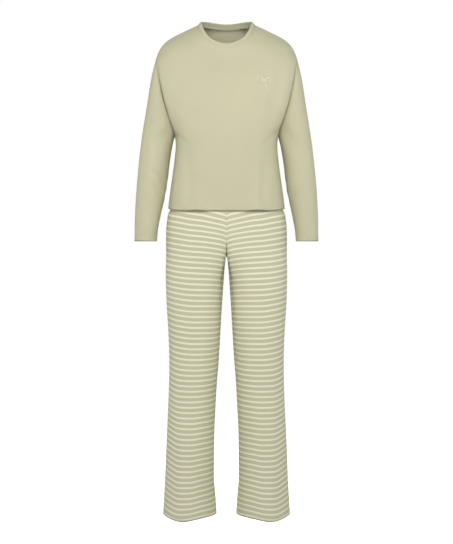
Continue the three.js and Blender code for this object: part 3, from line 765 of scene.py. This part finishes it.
class Grid:
    """A panel's outer points with the distances along the cloth from its edges."""

    def __init__(self, points):
        self.points = points
        self.rows, self.columns = len(points), len(points[0])
        self.from_left = [lengths_along(row) for row in points]
        self.width = [row[-1] for row in self.from_left]
        columns = [lengths_along([row[j] for row in points]) for j in range(self.columns)]
        self.height = [column[-1] for column in columns]
        self.up = [list(row) for row in zip(*columns)]

    def to_left(self, i, j):
        return self.from_left[i][j]

    def to_right(self, i, j):
        return self.width[i] - self.from_left[i][j]

    def to_top(self, i, j):
        return self.height[j] - self.up[i][j]

    def move(self, relief):
        """Moves each point out by relief(i, j, point)."""
        normals = normals_of(self.points)
        self.points = [
            [p + normals[i][j] * relief(i, j, p) for j, p in enumerate(row)]
            for i, row in enumerate(self.points)
        ]

    def area(self):
        total = 0.0
        for low, high in zip(self.points, self.points[1:]):
            for j in range(self.columns - 1):
                total += (low[j + 1] - low[j]).cross(high[j] - low[j]).length / 2
                total += (high[j] - high[j + 1]).cross(low[j + 1] - high[j + 1]).length / 2
        return total


def valley(distance, scale=1.0):
    return -SEAM_VALLEY["depth"] * scale * math.exp(-((distance / SEAM_VALLEY["width"]) ** 2))


# The turned hem's section from the inside's raw edge to the fold: height above the edge, depth inside
HEM_FOLD = [(HEM_DEPTH, 2 * FOLD_RADIUS), (0.014, 2 * FOLD_RADIUS), (0.007, 2 * FOLD_RADIUS)]
HEM_FOLD += [
    (FOLD_RADIUS * (1 - math.sin(turn)), FOLD_RADIUS * (1 + math.cos(turn)))
    for turn in (0.0, math.pi / 4, math.pi / 2, 3 * math.pi / 4)
]


def turned_hem(points, marks):
    """Rows of points and cloth marks for the cloth that is folded up inside a panel's first row."""
    normals = normals_of(points)
    rows, row_marks = [], []
    for height, depth in HEM_FOLD:
        row, line = [], []
        for j in range(len(points[0])):
            column = [points[i][j] for i in range(8)]
            row.append(walk(column, height) - normals[1][j] * depth)
            across, up = marks[0][j]
            line.append((across, up - height))
        rows.append(row)
        row_marks.append(line)
    return rows, row_marks


def finish_mesh(bm, name, material):
    """Makes the piece's object, smooth, in the record's material slot and on the one body."""
    for face in bm.faces:
        face.smooth = True
    mesh = bpy.data.meshes.new(name)
    bm.to_mesh(mesh)
    bm.free()
    mesh.materials.append(material)
    piece = bpy.data.objects.new(name, mesh)
    bpy.context.scene.collection.objects.link(piece)
    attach(piece, "root")
    return piece


def cloth(name, points, marks, material, thickness=JERSEY, around=False):
    """A thin shell behind a grid of points. marks are the points' places on the flat cloth."""
    bm = bmesh.new()
    rows, columns = len(points), len(points[0])
    bmesh.ops.create_grid(bm, x_segments=columns - 1, y_segments=rows - 1, size=1)
    place = bm.verts.layers.float_vector.new("cloth")
    bm.verts.ensure_lookup_table()
    for i in range(rows):
        for j in range(columns):
            vert = bm.verts[i * columns + j]
            vert.co = points[i][j]
            across, up = marks[i][j]
            vert[place] = Vector((across, up, 0))
    if around:
        bmesh.ops.remove_doubles(bm, verts=bm.verts, dist=1e-6)
    bm.normal_update()
    bmesh.ops.solidify(bm, geom=bm.faces, thickness=thickness)
    return finish_mesh(bm, name, material)


def closed_band(name, points, marks, material):
    """A folded band: a grid that closes on itself both ways."""
    bm = bmesh.new()
    rows, columns = len(points), len(points[0])
    bmesh.ops.create_grid(bm, x_segments=columns - 1, y_segments=rows - 1, size=1)
    place = bm.verts.layers.float_vector.new("cloth")
    bm.verts.ensure_lookup_table()
    for i in range(rows):
        for j in range(columns):
            vert = bm.verts[i * columns + j]
            vert.co = points[i][j]
            vert[place] = Vector((*marks[i][j], 0))
    bmesh.ops.remove_doubles(bm, verts=bm.verts, dist=1e-6)
    return finish_mesh(bm, name, material)


# Materials


def shader(name, roughness, sheen, sheen_tint):
    material = bpy.data.materials.new(name)
    material.use_nodes = True
    tree = material.node_tree
    surface = tree.nodes["Principled BSDF"]
    surface.inputs["Roughness"].default_value = roughness
    surface.inputs["Sheen Weight"].default_value = sheen
    surface.inputs["Sheen Roughness"].default_value = 0.45
    surface.inputs["Sheen Tint"].default_value = (*sheen_tint, 1)
    surface.inputs["Specular IOR Level"].default_value = 0.25
    return material, tree, surface


def add_node(tree, kind, inputs=(), **settings):
    """A node with its settings, and each input set to a number or linked to a socket."""
    node = tree.nodes.new("ShaderNode" + kind)
    for name, value in settings.items():
        setattr(node, name, value)
    for socket, value in dict(inputs).items():
        if isinstance(value, bpy.types.NodeSocket):
            tree.links.new(value, node.inputs[socket])
        else:
            node.inputs[socket].default_value = value
    return node


def math_node(tree, operation, first, second=0.0, third=0.0):
    node = add_node(tree, "Math", {0: first, 1: second, 2: third}, operation=operation)
    return node.outputs[0]


def colour_mix(tree, factor, first, second, blend="MIX"):
    node = tree.nodes.new("ShaderNodeMix")
    node.data_type = "RGBA"
    node.blend_type = blend
    for index, value in ((0, factor), (6, first), (7, second)):
        if isinstance(value, bpy.types.NodeSocket):
            tree.links.new(value, node.inputs[index])
        else:
            node.inputs[index].default_value = value if index == 0 else (*value, 1)
    return node.outputs[2]


def cloth_place(tree):
    """The two coordinates of the flat cloth, across and up, in metres."""
    attribute = add_node(tree, "Attribute", attribute_name="cloth")
    split = add_node(tree, "SeparateXYZ", {0: attribute.outputs["Vector"]})
    return attribute.outputs["Vector"], split.outputs[0], split.outputs[1]


WALE, COURSE = 0.0011, 0.0009  # one knitted loop, across and up


def knit_height(tree, across, up):
    """The relief of stocking stitch: two legs of each loop lean together in a V."""
    wale = math_node(tree, "DIVIDE", math_node(tree, "PINGPONG", across, WALE / 2), WALE / 2)
    lean = math_node(tree, "MULTIPLY_ADD", wale, 0.5, math_node(tree, "DIVIDE", up, COURSE))
    loops = math_node(tree, "SINE", math_node(tree, "MULTIPLY", lean, math.tau))
    legs = math_node(tree, "SINE", math_node(tree, "MULTIPLY", wale, math.pi))
    return math_node(tree, "MULTIPLY_ADD", loops, 0.35, legs)


def jersey(name, sage, cream=None, soft=0.9):
    """Cotton jersey in one colour, or with cream stripes across."""
    material, tree, surface = shader(name, 0.86, 0.10, sage)
    place, across, up = cloth_place(tree)
    cloud = add_node(tree, "TexNoise", {"Vector": place, "Scale": 9.0, "Detail": 3.0})
    fleck = add_node(tree, "TexNoise", {"Vector": place, "Scale": 900.0, "Detail": 2.0})
    colour = colour_mix(tree, cloud.outputs[0], [c * 0.975 for c in sage], [c * 1.02 for c in sage])
    if cream:
        wander = math_node(tree, "MULTIPLY_ADD", fleck.outputs[0], 0.0006, up)
        off_stripe = math_node(tree, "PINGPONG", wander, STRIPE_CLOTH_PITCH / 2)
        edge = STRIPE["cream"] / 2
        ground = add_node(tree, "MapRange", {0: off_stripe, 1: edge - 0.0002, 2: edge + 0.0006})
        colour = colour_mix(tree, ground.outputs[0], cream, colour)
    shade = add_node(tree, "MapRange", {0: fleck.outputs[0], 1: 0.3, 2: 0.7, 3: 0.965, 4: 1.025})
    colour = colour_mix(tree, 1.0, colour, shade.outputs[0], "MULTIPLY")
    tree.links.new(colour, surface.inputs["Base Color"])
    bump = add_node(
        tree, "Bump", {"Height": knit_height(tree, across, up), "Distance": 0.00016, "Strength": soft}
    )
    tree.links.new(bump.outputs[0], surface.inputs["Normal"])
    return material


STRIPE_CLOTH_PITCH = 0.016
SAGE = (0.600, 0.580, 0.400)
TROUSER_SAGE = (0.610, 0.595, 0.400)
CREAM = (0.865, 0.845, 0.665)
plain_jersey = jersey("plain_jersey", SAGE)
striped_jersey = jersey("striped_jersey", TROUSER_SAGE, CREAM)


def thread(name, colour):
    """Stitching thread, with the twist of its plies."""
    material, tree, surface = shader(name, 0.55, 0.15, colour)
    place = add_node(tree, "TexCoord").outputs["Object"]
    ply = add_node(tree, "TexNoise", {"Vector": place, "Scale": 2500.0, "Detail": 1.0})
    tone = colour_mix(tree, ply.outputs[0], [c * 0.88 for c in colour], [min(1, c * 1.08) for c in colour])
    tree.links.new(tone, surface.inputs["Base Color"])
    bump = add_node(tree, "Bump", {"Height": ply.outputs[0], "Distance": 0.0001, "Strength": 0.4})
    tree.links.new(bump.outputs[0], surface.inputs["Normal"])
    return material


sage_thread = thread("sage_thread", (0.60, 0.585, 0.41))
pale_thread = thread("pale_thread", (0.80, 0.78, 0.62))
pale_tape = jersey("pale_tape", (0.66, 0.64, 0.47))


def marks_of(grid):
    """The cloth's own coordinates, from its left edge and its hem."""
    return [[(grid.to_left(i, j), grid.up[i][j]) for j in range(grid.columns)] for i in range(grid.rows)]


def with_hem(grid, marks):
    hem, hem_marks = turned_hem(grid.points, marks)
    return hem + grid.points, hem_marks + marks


ARMHOLE_HOLD = {"above": 0.11, "below": 0.03, "width": 0.010}


def armhole_hold(edge, z):
    """Falls to 0 on the armhole seam near the underarm, where the two edges look different ways."""
    reach = ARMHOLE_HOLD["above"] if z > UNDERARM_Z else ARMHOLE_HOLD["below"]
    near_underarm = smooth(1 - abs(z - UNDERARM_Z) / reach)
    return 1 - near_underarm * math.exp(-((edge / ARMHOLE_HOLD["width"]) ** 2))


def hem_relief(up):
    """The double cloth of a hem stands out slightly."""
    return HEM_STEP * smooth((HEM_DEPTH + 0.002 - up) / 0.003)


def finish_panel(name, grid, marks, material):
    """A panel's piece, with its hem turned up, in place of its solid, and its cut size and area printed."""
    size = (max(grid.width), max(grid.height) + HEM_DEPTH)
    area = grid.area() + grid.width[0] * HEM_DEPTH
    points, marks = with_hem(grid, marks)
    piece = cloth(name, points, marks, material)
    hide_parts(name)
    print("cut", name, "width %.3f length %.3f area %.4f" % (*size, area))
    return piece, grid


def make_body(way):
    name = "top_front" if way == FRONT else "top_back"
    grid = Grid(body_grid(way))

    def move_out(i, j, point):
        edge = min(grid.to_left(i, j), grid.to_right(i, j))
        over = abs(point.x) > NECK_HALF_WIDTH and point.z > SHOULDER_TIP_Z - 0.02
        top = grid.to_top(i, j) if over else 1.0
        seam = min(valley(edge, SEAM_SOFTNESS["armhole"]), valley(top, SEAM_SOFTNESS["shoulder"]))
        relief = seam + hem_relief(grid.up[i][j]) + top_relief(point)
        return relief * armhole_hold(edge, point.z)

    marks = marks_of(grid)
    grid.move(move_out)
    return finish_panel(name, grid, marks, plain_jersey)


def make_sleeve(side):
    name = "sleeve_right" if side == RIGHT else "sleeve_left"
    grid = Grid(sleeve_grid(side))

    def move_out(i, j, point):
        underarm = min(grid.to_left(i, j), grid.to_right(i, j))
        top = grid.to_top(i, j)
        seam = min(valley(underarm), valley(top, SEAM_SOFTNESS["armhole"]))
        relief = seam + hem_relief(grid.up[i][j]) + top_relief(point)
        return relief * armhole_hold(top, point.z)

    marks = marks_of(grid)
    grid.move(move_out)
    return finish_panel(name, grid, marks, plain_jersey)


def make_trouser_panel(way, side):
    name = f"trouser_{'front' if way == FRONT else 'back'}_{'right' if side == RIGHT else 'left'}"
    points, courses = trouser_grid(way, side)
    grid = Grid(points)

    def move_out(i, j, point):
        edge = min(grid.to_left(i, j), grid.to_right(i, j))
        relief = valley(edge, SEAM_SOFTNESS["leg"]) + hem_relief(grid.up[i][j]) + trouser_relief(point)
        return relief * fork_hold(point)

    marks = [
        [(grid.to_left(i, j), courses[i][j] * STRIPE_CLOTH_PITCH) for j in range(grid.columns)]
        for i in range(grid.rows)
    ]
    seam = [(i, j) for i in range(grid.rows) for j in (0, -1) if abs(points[i][j].x) < 1e-6]
    grid.move(move_out)
    for i, j in seam:
        grid.points[i][j].x = 0
    return finish_panel(name, grid, marks, striped_jersey)


# The neckband, the tape inside it, and the waistband


def neck_point(turn):
    """A point of the neck seam: 0 at the right shoulder, a quarter in front, a half at the left."""
    way = FRONT if turn <= 0.5 else BACK
    angle = (4 * turn - 1 if way == FRONT else 3 - 4 * turn) * math.pi / 2
    z = neck_z(way, angle)
    return body_point(way, NECK_HALF_WIDTH * math.sin(angle) / read(BODY, "half_width", z), z)


def band_frame(turn):
    """The neck seam's point, the way that the band rises there and the way out through it."""
    step = 0.004
    along = neck_point((turn + step) % 1) - neck_point((turn - step) % 1)
    inwards = Vector((-along.y, along.x, 0)).normalized()
    lean = math.radians(mix(NECKBAND["side"], NECKBAND[FRONT if inwards.y > 0 else BACK], inwards.y**2))
    rise = inwards * math.sin(lean) + Vector((0, 0, math.cos(lean)))
    return neck_point(turn), rise, along.cross(rise).normalized()


NECK_DIVISIONS = 160
# The folded band's section from its seam over the top to the inside: rise, depth
BAND_SECTION = [(0.0000, 0.0009), (0.0012, 0.0002), (0.004, -0.0001), (0.008, -0.0002), (0.012, -0.0001)]
BAND_SECTION += [(0.0145, 0.0001), (0.0157, 0.0006), (0.016, 0.0012), (0.0157, 0.0018), (0.0145, 0.0023)]
BAND_SECTION += [(0.010, 0.0025), (0.005, 0.0025), (0.0, 0.0024)]


def make_neckband():
    frames = [band_frame(turn) for turn in even(NECK_DIVISIONS)]
    section = BAND_SECTION + BAND_SECTION[:1]
    points = [[seam + rise * up - out * deep for seam, rise, out in frames] for up, deep in section]
    around = lengths_along(points[0])
    up = lengths_along([Vector((*place, 0)) for place in section])
    marks = [[(across, level) for across in around] for level in up]
    piece = closed_band("neckband", points, marks, plain_jersey)
    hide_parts("neckband")


TAPE = {"width": 0.008, "cut": 0.010, "cloth": 0.0007, "clearance": 0.0030, "start": 0.53, "end": 0.97}


def make_neck_tape():
    turns = even(70, TAPE["start"], TAPE["end"])
    rows = even(4, -TAPE["width"] / 2, TAPE["width"] / 2)
    points = []
    for up in rows:
        frames = (band_frame(turn) for turn in turns)
        points.append([seam + rise * up - out * TAPE["clearance"] for seam, rise, out in frames])
    grid = Grid(points)
    piece = cloth("neck_tape", points, marks_of(grid), pale_tape, TAPE["cloth"])
    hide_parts("neck_tape")


WAISTBAND = {"cloth": 0.003, "gathers": 74, "gather": 0.0011, "rows": 3}


def waist_point(turn, z):
    """A point round the waist from the right outseam over the front."""
    quarter, share = divmod(turn * 4, 1)
    angle = (share if quarter % 2 == 0 else 1 - share) * math.pi
    point = trouser_point(FRONT if quarter < 2 else BACK, angle, z)
    return Vector((-point.x, point.y, point.z)) if quarter in (1, 2) else point


def make_waistband():
    turns = even(WAISTBAND["gathers"] * 6)[:-1]
    turns.append(0.0)
    heights = even(8, TROUSER_TOP_Z + 0.0003, WAISTBAND_TOP_Z)
    outside = [[waist_point(turn, z) for turn in turns] for z in heights]
    normals = normals_of(outside)
    wander = random.Random(3)
    strength = [wander.uniform(0.5, 1.0) for _ in range(WAISTBAND["gathers"])]
    section = []
    for side, order in ((0, range(9)), (1, reversed(range(9)))):
        section += [(row, side) for row in order]
    points = []
    for row, side in section + section[:1]:
        puff = math.sin(math.pi * row / 8 * WAISTBAND["rows"]) ** 2
        line = []
        for j, point in enumerate(outside[row]):
            gather, phase = divmod(turns[j] * WAISTBAND["gathers"], 1)
            wave = strength[int(gather)] * WAISTBAND["gather"] * puff * math.sin(phase * math.pi)
            edge = 0.0006 if row in (0, 8) else 0
            depth = WAISTBAND["cloth"] * side + (wave - edge) * (1 if side else -1)
            line.append(point - normals[row][j] * depth)
        points.append(line)
    around = lengths_along(points[0])
    marks = [[(across, 0.004 * k) for across in around] for k in range(len(points))]
    piece = closed_band("waistband", points, marks, plain_jersey)
    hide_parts("waistband")


# Stitches: small grains of thread along a line on the cloth

THREAD = 0.00022


def add_grain(bm, middle, along, out, length, width):
    """One stitch: a grain of thread that lies on the cloth."""
    along = along.normalized()
    side = out.cross(along).normalized()
    turn = Matrix((along, side, side.cross(along) * -1)).transposed().to_4x4()
    size = Matrix.Diagonal((length / 2, width, width, 1))
    bmesh.ops.create_icosphere(bm, subdivisions=1, radius=1, matrix=Matrix.Translation(middle) @ turn @ size)


def stitch_line(bm, line, outs, pitch=0.0036, length=0.0030, lift=0.0001, width=THREAD):
    """Straight stitches end to end along a line of points."""
    lengths = lengths_along(line)
    count = int(lengths[-1] / pitch)
    k = 0
    for n in range(count):
        target = (n + 0.5) * lengths[-1] / count
        while lengths[k + 1] < target:
            k += 1
        share = (target - lengths[k]) / (lengths[k + 1] - lengths[k])
        middle = line[k].lerp(line[k + 1], share) + outs[k] * lift
        add_grain(bm, middle, line[k + 1] - line[k], outs[k], length, width)


def hem_line(grid, height):
    """Points at one height above a panel's hem, and the ways out there."""
    normals = normals_of(grid.points)
    line, outs = [], []
    for j in range(grid.columns):
        column = [grid.points[i][j] for i in range(12)]
        line.append(walk(column, height))
        nearest = min(range(12), key=lambda i: abs(grid.up[i][j] - height))
        outs.append(normals[nearest][j])
    return line, outs


TWIN_NEEDLES = (0.0195, 0.0150)  # above the hem's edge


def make_hem_stitches(name, grids):
    bm = bmesh.new()
    for grid in grids:
        for height in TWIN_NEEDLES:
            line, outs = hem_line(grid, height)
            stitch_line(bm, line, outs)
    return finish_mesh(bm, name, sage_thread)


# The embroidered bow on the wearer's left chest, worked in satin stitch. Its points are in
# millimetres from the knot, across and up.
BOW_PLACE = (0.1105, -0.1755)  # across and up, in metres
BOW_LOOPS = (
    ((-1, 0.5), (-7, 5.5), (-14, 10.5), (-20, 9.5), (-20.5, 3.5), (-14, -0.5), (-6, -1)),
    ((1, 0.5), (6, 4.5), (11, 7.5), (15.5, 5), (15, -1.5), (10, -5), (4.5, -2.5)),
)
BOW_TAILS = (
    ((-1, -2), (-3.5, -9), (-7.5, -15), (-13, -17.5), (-18.5, -20.5)),
    ((1.2, -2), (2.5, -9), (4.5, -16), (9, -21.5), (12.5, -28)),
)
SATIN = {"width": 0.0040, "pitch": 0.00048, "thread": 0.00036, "lift": 0.0007}


def chest_point(across, up):
    """A point of the front and the way out through it, at a place on the bow's plan."""
    x, z = BOW_PLACE[0] + across / 1000, BOW_PLACE[1] + up / 1000

    def at(dx, dz):
        return body_point(FRONT, (x + dx) / read(BODY, "half_width", z + dz), z + dz)

    step = 0.001
    out = (at(step, 0) - at(-step, 0)).cross(at(0, step) - at(0, -step)).normalized()
    middle = at(0, 0)
    return middle + out * top_relief(middle), out


def satin_column(bm, plan, width_at):
    """Threads side by side across a line on the bow's plan."""
    lengths = lengths_along([Vector((*p, 0)) for p in plan])
    count = int(lengths[-1] / (SATIN["pitch"] * 1000))
    k = 0
    for n in range(count):
        target = (n + 0.5) / count * lengths[-1]
        while lengths[k + 1] < target:
            k += 1
        share = (target - lengths[k]) / (lengths[k + 1] - lengths[k])
        place = plan[k].lerp(plan[k + 1], share)
        along = (plan[k + 1] - plan[k]).normalized()
        across = Vector((-along.y, along.x))
        point, out = chest_point(*place)
        end, _ = chest_point(*(place + across))
        width = width_at(target / lengths[-1]) * SATIN["width"]
        add_grain(bm, point + out * SATIN["lift"], end - point, out, width, SATIN["thread"])


def make_bow():
    bm = bmesh.new()
    for tail in BOW_TAILS:
        satin_column(bm, curve_through(tail), lambda share: 0.95 - 0.35 * share**3)
    for loop in BOW_LOOPS:
        satin_column(bm, curve_through(loop, True), lambda share: 0.6 + 0.4 * math.sin(share * math.pi))
    satin_column(bm, curve_through(((-0.4, -2.6), (0, 0), (0.5, 2.4))), lambda share: 1.5)
    return finish_mesh(bm, "bow_embroidery", pale_thread)


body = {way: make_body(way) for way in (FRONT, BACK)}
sleeves = {side: make_sleeve(side) for side in (RIGHT, LEFT)}
panels = {(way, side): make_trouser_panel(way, side) for way in (FRONT, BACK) for side in (RIGHT, LEFT)}

make_neckband()
make_neck_tape()
make_waistband()
make_hem_stitches("top_hem_stitches", [body[FRONT][1], body[BACK][1]])
for side, word in ((RIGHT, "right"), (LEFT, "left")):
    make_hem_stitches("cuff_stitches_" + word, [sleeves[side][1]])
    legs = [panels[way, side][1] for way in (FRONT, BACK)]
    make_hem_stitches("leg_hem_stitches_" + word, legs)
make_bow()

# Camera, at the photograph's eye level and 4 m away
EYE = Vector((0, -4.0, -0.657))
AIM = Vector((0, 0, -0.737))
IMAGE = (453, 544)
METRES_A_PIXEL = 0.003
camera_data = bpy.data.cameras.new("camera")
camera_data.lens = 36 * (4.0 / METRES_A_PIXEL) / IMAGE[1]
camera = bpy.data.objects.new("camera", camera_data)
camera.location = EYE
camera.rotation_euler = (AIM - EYE).to_track_quat("-Z", "Y").to_euler()
bpy.context.scene.collection.objects.link(camera)
bpy.context.scene.camera = camera

# Floor and light
FLOOR_GLOW = 0.85  # so that the floor is as pale as the backdrop
scene = bpy.context.scene
scene.view_settings.view_transform = "Standard"
floor_mesh = bpy.data.meshes.new("floor")
bm = bmesh.new()
bmesh.ops.create_grid(bm, x_segments=1, y_segments=1, size=6, matrix=Matrix.Translation((0, 0, -1.60)))
bm.to_mesh(floor_mesh)
bm.free()
floor = bpy.data.objects.new("floor", floor_mesh)
bpy.context.scene.collection.objects.link(floor)
floor_material, floor_tree, floor_surface = shader("floor", 0.9, 0.0, (1, 1, 1))
floor_surface.inputs["Base Color"].default_value = (0.65, 0.65, 0.64, 1)
floor_surface.inputs["Emission Color"].default_value = (1, 1, 1, 1)
floor_tree.links.new(
    math_node(floor_tree, "MULTIPLY", add_node(floor_tree, "LightPath").outputs["Is Camera Ray"], FLOOR_GLOW),
    floor_surface.inputs["Emission Strength"],
)
floor_mesh.materials.append(floor_material)

AMBIENT, BACKDROP = 0.34, 1.0
world = bpy.data.worlds.new("studio")
world.use_nodes = True
studio = world.node_tree
seen = add_node(studio, "LightPath").outputs["Is Camera Ray"]
studio.links.new(
    math_node(studio, "MULTIPLY_ADD", seen, BACKDROP - AMBIENT, AMBIENT),
    studio.nodes["Background"].inputs["Strength"],
)
studio.nodes["Background"].inputs["Color"].default_value = (1, 1, 1, 1)
scene.world = world


def soft_light(name, place, aim, size, watts):
    data = bpy.data.lights.new(name, "AREA")
    data.shape = "RECTANGLE"
    data.size, data.size_y = size
    data.energy = watts
    light = bpy.data.objects.new(name, data)
    light.location = place
    light.rotation_euler = (Vector(aim) - Vector(place)).to_track_quat("-Z", "Y").to_euler()
    bpy.context.scene.collection.objects.link(light)
    return light


soft_light("front", (0, -2.1, 0.1), (0, 0, -0.3), (1.4, 1.0), 29.3)
for side in (RIGHT, LEFT):
    soft_light("side", (side * 1.6, -1.1, 0.05), (0, 0, -0.3), (1.0, 1.4), 5.4)
    soft_light("flank", (side * 2.0, 0.3, 0.1), (0, 0, -0.4), (1.0, 1.6), 7.5)
soft_light("back", (0, 2.4, 0.4), (0, 0, -0.5), (1.6, 1.2), 24.5)
